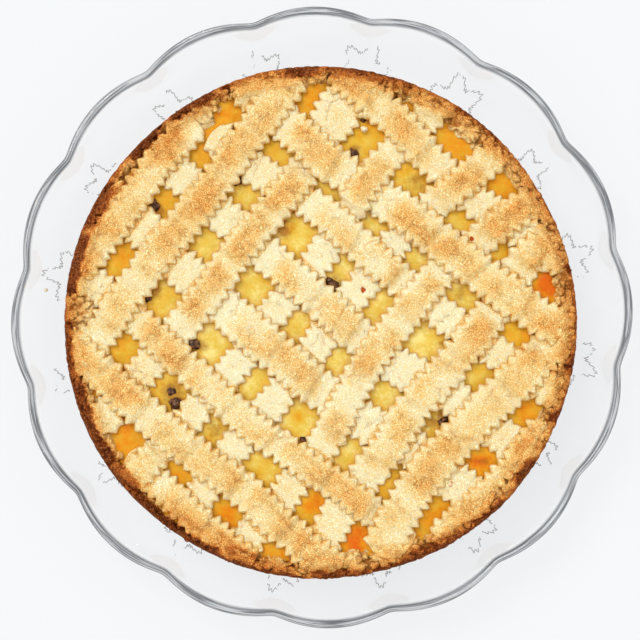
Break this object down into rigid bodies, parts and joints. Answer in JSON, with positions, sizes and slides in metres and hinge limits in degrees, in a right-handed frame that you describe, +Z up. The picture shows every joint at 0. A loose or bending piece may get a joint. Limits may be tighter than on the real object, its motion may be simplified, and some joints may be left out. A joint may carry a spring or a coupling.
{
  "type": "chocolate ricotta pie",
  "caption": "Round baked ricotta pie with chocolate chips under a woven lattice of pinked pastry strips, on its clear glass dish with a scalloped rim.",
  "frame": {"origin": "middle of the glass dish's flat underside, on the table", "axes": "+Z up; the picture's upward direction is +Y and its right is +X; the lattice strips run along the two diagonals"},
  "size_m": [0.3198, 0.3198, 0.0444],
  "materials": {
    "clear_glass": "smooth clear pressed glass",
    "baked_crust": "dry, crumbly baked shortcrust, golden to dark brown",
    "lattice_pastry": "dry, fine-crumbed baked shortcrust, pale cream to golden",
    "ricotta": "smooth, slightly moist baked ricotta cream, pale yellow to orange, with dark chocolate chips"
  },
  "bodies": {
    "root": {"glass_dish": "clear_glass", "pastry_crust": "baked_crust", "ricotta_filling": "ricotta", "lattice_across_1": "lattice_pastry", "lattice_across_2": "lattice_pastry", "lattice_across_3": "lattice_pastry", "lattice_across_4": "lattice_pastry", "lattice_across_5": "lattice_pastry", "lattice_across_6": "lattice_pastry", "lattice_across_7": "lattice_pastry", "lattice_across_8": "lattice_pastry", "lattice_down_1": "lattice_pastry", "lattice_down_2": "lattice_pastry", "lattice_down_3": "lattice_pastry", "lattice_down_4": "lattice_pastry", "lattice_down_5": "lattice_pastry", "lattice_down_6": "lattice_pastry", "lattice_down_7": "lattice_pastry", "lattice_down_8": "lattice_pastry", "lattice_down_9": "lattice_pastry"}
  },
  "joints": []
}
